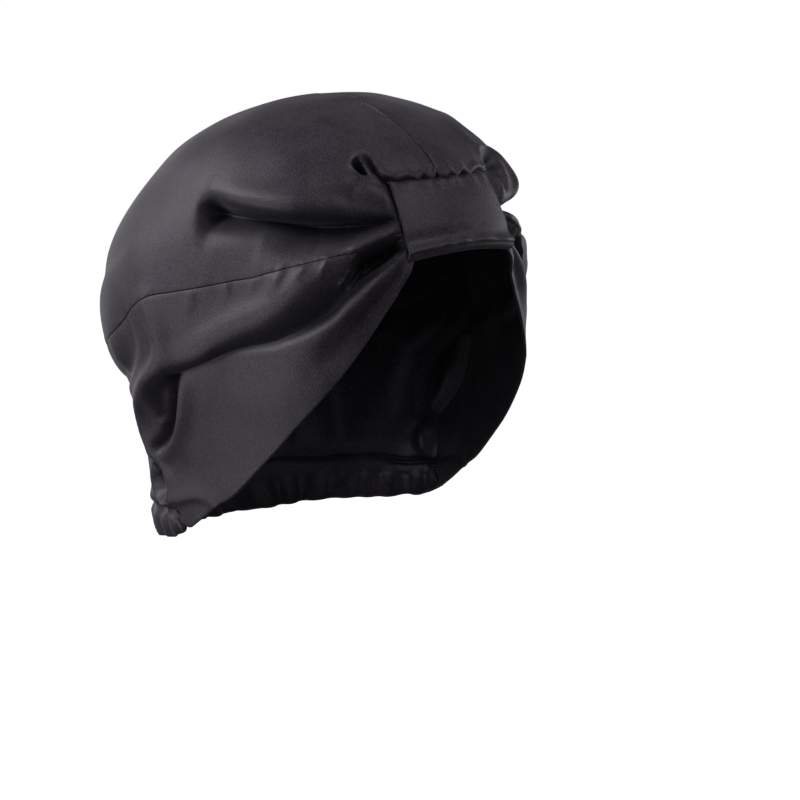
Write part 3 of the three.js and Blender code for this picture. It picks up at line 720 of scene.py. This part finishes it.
def make_panel(shape, side, satin):
    """Makes a panel and gives its points and normals, from the forehead back on both sides."""
    base = panel_grid(shape, side)
    base_normals = grid_normals(base)
    # light is the painted shade of the folds, carried onto the mesh as an attribute
    points, light = fold_panel(base, base_normals, side)
    normals = seam_normals(shape, base, base_normals, points)
    seed = 0.0 if side == "right" else 3.0
    if shape == "crown":
        points = pucker(points, normals, "low", seed + 0.5, 0.8, 25)
        points = pucker(points, normals, "high", seed + 2.0, 0.35, 10)
    else:
        points = pucker(points, normals, "high", seed + 0.5, 1.3, 25)
        points = gather(points, normals, side)
    points = points + normals * soften(points, seed)[..., None]
    points = relax(points)
    if shape == "crown":
        trim(points, 0, 1)
    else:
        trim(points, -1, -2)
    points = keep_to_side(points)
    normals = seam_normals(shape, base, base_normals, points)
    order = slice(None)
    if side == "left":
        points, normals = mirror(points), mirror(normals)
        order = slice(None, None, -1)
    name = f"{shape}_{side}"
    made = shell(f"{name}_satin", points[order], normals[order], WALL, light[order])
    dress(made, satin, name)
    return points, normals


def make_tape(name, grids, axis, satin):
    """A narrow tape on the inside, over the seam between the grids it is given."""
    points = np.concatenate([grid[0] for grid in grids], axis)
    normals = np.concatenate([grid[1] for grid in grids], axis)
    made = shell(name, points - normals * (WALL + TAPE["gap"]), normals, TAPE["wall"])
    dress(made, satin)


def turned(grids):
    """Grids with their columns in the other order, so that a left tape faces outwards."""
    return [(points[::-1], normals[::-1]) for points, normals in grids]


def cut(grid, columns, rows):
    return grid[0][columns, rows], grid[1][columns, rows]


def make_tapes(panels, satin):
    """Tapes over the side seams and over the middle seam of the crown and the bands."""
    every = slice(None)
    # every second one of the five rows or columns along an edge, in either order
    first = slice(0, 5, 2)
    last = slice(-5, None, 2)
    last_inwards = slice(-1, -6, -2)
    for side in ("right", "left"):
        seam = panels["side_band", side][0][:, -1]
        behind = np.abs(azimuth_of(seam)) >= TAPE["start"]
        grids = [cut(panels["side_band", side], behind, last),
                 cut(panels["crown", side], behind, first)]
        if side == "left":
            grids = turned(grids)
        make_tape(f"side_seam_tape_{side}", grids, 1, satin)
    for name, shape, on_right, on_left, axis in (
            ("crown_seam_tape", "crown", (every, last), (every, last_inwards), 1),
            ("back_seam_tape", "crown", (last, every), (last_inwards, every), 0),
            ("nape_seam_tape", "side_band", (last, every), (last_inwards, every), 0)):
        grids = [cut(panels[shape, "right"], *on_right), cut(panels[shape, "left"], *on_left)]
        make_tape(name, grids, axis, satin)


def front_point(x, z):
    """The point of the form's front at a distance across and a height."""
    degrees = np.zeros_like(x)
    for _ in range(FRONT_ROUNDS):
        p = on_form(degrees, z)
        degrees = np.degrees(np.arcsin(np.clip(-x / np.hypot(p[..., 0], p[..., 1]), -1, 1)))
    return on_form(degrees, z)


def loop_relief(x, across, up):
    """How the loop's face is padded, rolled at its lower edge and creased under its upper one."""
    pillow = 0.9 * (1 - across**4) * np.sin(np.pi * np.clip(up, 0, 1))
    crest = 0.02 + 0.012 * pleat_wave(x / 13, 0.3)
    roll_wave = 1 + 0.4 * pleat_wave(x / 11, 0.7)
    hem_roll = 1.3 * np.exp(-(((up - crest) / 0.05) ** 2)) * roll_wave
    sag = -0.9 * np.exp(-(((up - crest - 0.14) / 0.08) ** 2))
    creases = 0.8 * pleat_wave(x / 8.5, 0.2) * smooth(0.7, 1.0, up)
    tuck = -1.5 * smooth(0.93, 1.0, up)
    return pillow + hem_roll + sag + creases + tuck


def make_loop(satin):
    """The loop: up behind the gathers, round its lower edge and up the forehead."""
    turn, back, face = LOOP_GRID["turn"], LOOP_GRID["back"], LOOP_GRID["face"]
    share = np.linspace(-1, 1, LOOP_GRID["across"] + 1)
    turn_z = LOOP["bottom_z"] - LOOP["arch"] * share**2 + LOOP["turn_radius"]
    # 180 degrees on the back of the loop, falling round the turn to 0 on its face
    angles = np.concatenate([np.full(back, np.pi), np.linspace(np.pi, 0, turn), np.zeros(face)])
    run = np.concatenate([np.linspace(1, 0, back), np.zeros(turn),
                          np.linspace(0, 1, face + 1)[1:]])
    is_back = angles > 3
    is_face = (angles < 0.1)[None, :]
    end_z = np.where(is_back, LOOP["return_z"], LOOP["top_z"])
    across, up = np.meshgrid(share, run, indexing="ij")
    z = turn_z[:, None] + (end_z[None, :] - turn_z[:, None]) * up
    flare = 1 + 0.035 * (1 - up) * ~is_back
    x = LOOP["centre_x"] + across * LOOP["half_width"] * flare
    p = front_point(x, z)
    out = unit(np.stack([p[..., 0], p[..., 1], z - CENTRE[2]], -1))
    down = unit(np.array([0, 0, -1.0]) + out * out[..., 2:])
    way = out * np.cos(angles)[None, :, None] + down * np.sin(angles)[None, :, None]
    middle = p + out * (lift_at(z) - LOOP["turn_radius"])[..., None]
    relief = loop_relief(x, across, up) * is_face
    points = middle + way * LOOP["turn_radius"] + out * relief[..., None]
    normals = grid_normals(points, middle_edges=False)
    if np.mean(dot(normals, way)) < 0:
        normals = -normals
    made = shell("knot_loop_satin", points[::-1], normals[::-1], LOOP["wall"])
    dress(made, satin, "knot_loop")


def resample(line, count):
    """A line's points at even distances along it."""
    length = np.concatenate([[0], np.cumsum(np.linalg.norm(np.diff(line, axis=0), axis=1))])
    at = np.linspace(0, length[-1], count)
    return np.stack([np.interp(at, length, line[:, k]) for k in range(3)], -1)


def casing_form(half):
    """The casing's shape before its pleats, and how far up it each row is."""
    hem = towards(curve(ROUTES["hem"], "right", np.linspace(0, 1, HEM_POINTS)))
    top = unit(resample(hem[azimuth_of(hem) >= CASING["start"]], half + 1) - CENTRE)
    low = curve(ROUTES["casing_hem"], "right", np.linspace(0, 1, half + 1))
    up = np.linspace(0, 1, CASING["rows"] + 1)
    right = towards(low[:, None, :] * (1 - up)[None, :, None]
                    + top[:, None, :] * up[None, :, None])
    return np.vstack([right, mirror(right[::-1])[1:]]), up


def pleat_casing(points, up):
    """Puffs the casing out and gathers it into upright pleats."""
    out = unit(np.concatenate([points[..., :2], np.zeros(points.shape[:2] + (1,))], -1))
    degrees = azimuth_of(points) % 360
    drift = 4.0 * np.sin(degrees / 9) * up[None, :]
    wave = pleat_wave((degrees + 0.4 * drift) / 360 * CASING["pleats"], 0.9)
    sharp = np.sign(wave) * np.abs(wave) ** 0.8
    puff = CASING["puff"] * np.sin(np.pi * up)[None, :] ** 0.7
    strength = CASING["depth"] * (0.7 + 0.3 * np.cos(3 * up)[None, :])
    return points + out * (puff + strength * sharp)[..., None]


def sew_to_hem(points, panels, half):
    """Brings the casing's upper rows onto the bands' hem."""
    hems = [panels["side_band", side][0][:, 0] for side in ("right", "left")]
    sewn = [resample(hem[np.abs(azimuth_of(hem)) >= CASING["start"]], half + 1) for hem in hems]
    sewn = np.vstack([sewn[0], sewn[1][::-1][1:]]) - np.array([0, 0, CASING["drop"]])
    return points + (sewn - points[:, -1])[:, None, :]


def make_casing_tapes(points, normals, panels, half, satin):
    """Tapes over the seams between the casing and the bands."""
    halves = dict(right=slice(0, half + 1), left=slice(None, half - 1, -1))
    for side, columns in halves.items():
        band = panels["side_band", side]
        held = np.abs(azimuth_of(band[0][:, 0])) >= CASING["start"]
        hem, hem_normals = [np.stack([resample(part[held, row], half + 1) for row in (0, 2, 4)], 1)
                            for part in band]
        grids = [(points[columns, -5::2], normals[columns, -5::2]), (hem, unit(hem_normals))]
        if side == "left":
            grids = turned(grids)
        make_tape(f"casing_tape_{side}", grids, 1, satin)


def make_casing(panels, satin):
    """The gathered elastic casing, from one ear round to the other, sewn to the bands' hem."""
    half = CASING["columns"] // 2
    form, up = casing_form(half)
    share = smooth(0.55, 1, up)[None, :, None]
    shaped = pleat_casing(form, up)
    points = shaped * (1 - share) + sew_to_hem(form, panels, half) * share
    normals = grid_normals(points, middle_edges=False)
    made = shell("nape_casing_satin", points, normals, CASING["wall"])
    dress(made, satin, "nape_casing")
    make_casing_tapes(points, normals, panels, half, satin)


# Materials

def new_material(name):
    made = bpy.data.materials.new(name)
    made.use_nodes = True
    nodes = made.node_tree.nodes
    shader = next(node for node in nodes if node.type == "BSDF_PRINCIPLED")
    return made, nodes, made.node_tree.links, shader


def satin_material():
    """Satin with a fine grain, slow slubs and painted shade that darkens its colour inside the
    folds.
    """
    made, nodes, links, shader = new_material("black_satin")
    place = nodes.new("ShaderNodeTexCoord")
    grain = nodes.new("ShaderNodeTexNoise")
    grain.inputs["Scale"].default_value = SATIN["grain"]
    grain.inputs["Detail"].default_value = 2
    links.new(place.outputs["Object"], grain.inputs["Vector"])
    slub = nodes.new("ShaderNodeTexNoise")
    slub.inputs["Scale"].default_value = SATIN["slub"]
    slub.inputs["Detail"].default_value = 3
    links.new(place.outputs["Object"], slub.inputs["Vector"])
    tone = nodes.new("ShaderNodeMix")
    tone.data_type = "FLOAT"
    tone.inputs["Factor"].default_value = 0.25
    links.new(grain.outputs["Fac"], tone.inputs[2])
    links.new(slub.outputs["Fac"], tone.inputs[3])
    ramp = nodes.new("ShaderNodeValToRGB")
    ramp.color_ramp.elements[0].position = 0.39
    ramp.color_ramp.elements[0].color = SATIN["dark"]
    ramp.color_ramp.elements[1].position = 0.61
    ramp.color_ramp.elements[1].color = SATIN["light"]
    links.new(tone.outputs[0], ramp.inputs["Fac"])
    # Painted shade: the grain's colour is scaled down by the factor the panels carry, darker inside
    # folds.
    reach = nodes.new("ShaderNodeAttribute")
    reach.attribute_name = "painted_shade_factor"
    shaded = nodes.new("ShaderNodeVectorMath")
    shaded.operation = "SCALE"
    links.new(ramp.outputs["Color"], shaded.inputs[0])
    links.new(reach.outputs["Fac"], shaded.inputs["Scale"])
    links.new(shaded.outputs["Vector"], shader.inputs["Base Color"])
    rough = nodes.new("ShaderNodeMapRange")
    rough.inputs["To Min"].default_value = 0.46
    rough.inputs["To Max"].default_value = 0.6
    links.new(slub.outputs["Fac"], rough.inputs["Value"])
    links.new(rough.outputs["Result"], shader.inputs["Roughness"])
    bump = nodes.new("ShaderNodeBump")
    bump.inputs["Strength"].default_value = 0.4
    bump.inputs["Distance"].default_value = 0.0003
    links.new(grain.outputs["Fac"], bump.inputs["Height"])
    links.new(bump.outputs["Normal"], shader.inputs["Normal"])
    shader.inputs["Specular IOR Level"].default_value = 0.28
    shader.inputs["Specular Tint"].default_value = (0.94, 0.9, 1, 1)
    shader.inputs["Sheen Weight"].default_value = 0.1
    shader.inputs["Sheen Roughness"].default_value = 0.35
    shader.inputs["Sheen Tint"].default_value = (0.8, 0.78, 0.86, 1)
    return made


def floor_material():
    made, nodes, links, shader = new_material("pale_floor")
    place = nodes.new("ShaderNodeTexCoord")
    mottle = nodes.new("ShaderNodeTexNoise")
    mottle.inputs["Scale"].default_value = 3
    links.new(place.outputs["Object"], mottle.inputs["Vector"])
    ramp = nodes.new("ShaderNodeValToRGB")
    ramp.color_ramp.elements[0].color = (0.93, 0.93, 0.93, 1)
    ramp.color_ramp.elements[1].color = (0.95, 0.95, 0.95, 1)
    links.new(mottle.outputs["Fac"], ramp.inputs["Fac"])
    links.new(ramp.outputs["Color"], shader.inputs["Base Color"])
    links.new(ramp.outputs["Color"], shader.inputs["Emission Color"])
    shader.inputs["Emission Strength"].default_value = FLOOR_GLOW
    shader.inputs["Roughness"].default_value = 0.9
    return made


# Stage

def make_camera():
    azimuth, elevation = CAMERA_AZIMUTH, CAMERA_ELEVATION
    look = np.array([math.sin(azimuth) * math.cos(elevation),
                     math.cos(azimuth) * math.cos(elevation), -math.sin(elevation)])
    right = np.array([math.cos(azimuth), -math.sin(azimuth), 0])
    up = np.cross(right, look)
    half = IMAGE_SIZE / 2
    target = (-right * (ORIGIN_PIXEL[0] - half) / PIXELS_PER_MM
              - up * (half - ORIGIN_PIXEL[1]) / PIXELS_PER_MM)
    eye = (target - look * CAMERA_DISTANCE) * MM
    data = bpy.data.cameras.new("camera")
    data.sensor_width = SENSOR
    data.lens = PIXELS_PER_MM * CAMERA_DISTANCE / IMAGE_SIZE * SENSOR
    camera = bpy.data.objects.new("camera", data)
    camera.location = eye
    camera.rotation_euler = Vector(look).to_track_quat("-Z", "Y").to_euler()
    bpy.context.scene.collection.objects.link(camera)
    bpy.context.scene.camera = camera


def make_light(name, place, size, power, spread):
    data = bpy.data.lights.new(name, "AREA")
    data.shape = "DISK"
    data.size = size
    data.energy = power
    data.spread = math.radians(spread)
    light = bpy.data.objects.new(name, data)
    light.location = place
    light.rotation_euler = (LIGHT_AIM - place).to_track_quat("-Z", "Y").to_euler()
    light.visible_camera = False
    bpy.context.scene.collection.objects.link(light)


def make_lights():
    for name, bearing, elevation, distance, size, power, spread in LIGHTS:
        turn = math.radians(bearing)
        rise = math.radians(elevation)
        way = Vector((-math.sin(turn) * math.cos(rise), -math.cos(turn) * math.cos(rise),
                      math.sin(rise)))
        make_light(name, way * distance + LIGHT_AIM, size, power, spread)
    world = bpy.data.worlds.new("studio")
    world.use_nodes = True
    background = world.node_tree.nodes["Background"]
    background.inputs["Color"].default_value = (1, 1, 1, 1)
    background.inputs["Strength"].default_value = WORLD_STRENGTH
    bpy.context.scene.world = world


def make_floor():
    corners = [(-1, -1), (1, -1), (1, 1), (-1, 1)]
    verts = np.array([(x * FLOOR_HALF, y * FLOOR_HALF, FLOOR_Z) for x, y in corners]) / MM
    floor = make_mesh("floor", verts, np.array([[0, 1, 2, 3]]))
    floor.data.materials.append(floor_material())
    floor.visible_diffuse = False
    floor.visible_glossy = False


make_camera()
make_lights()
make_floor()
bpy.context.scene.view_settings.view_transform = "Standard"

satin = satin_material()
panels = {}
for shape in PANELS:
    for side in ("right", "left"):
        panels[shape, side] = make_panel(shape, side, satin)
make_tapes(panels, satin)
make_loop(satin)
make_casing(panels, satin)
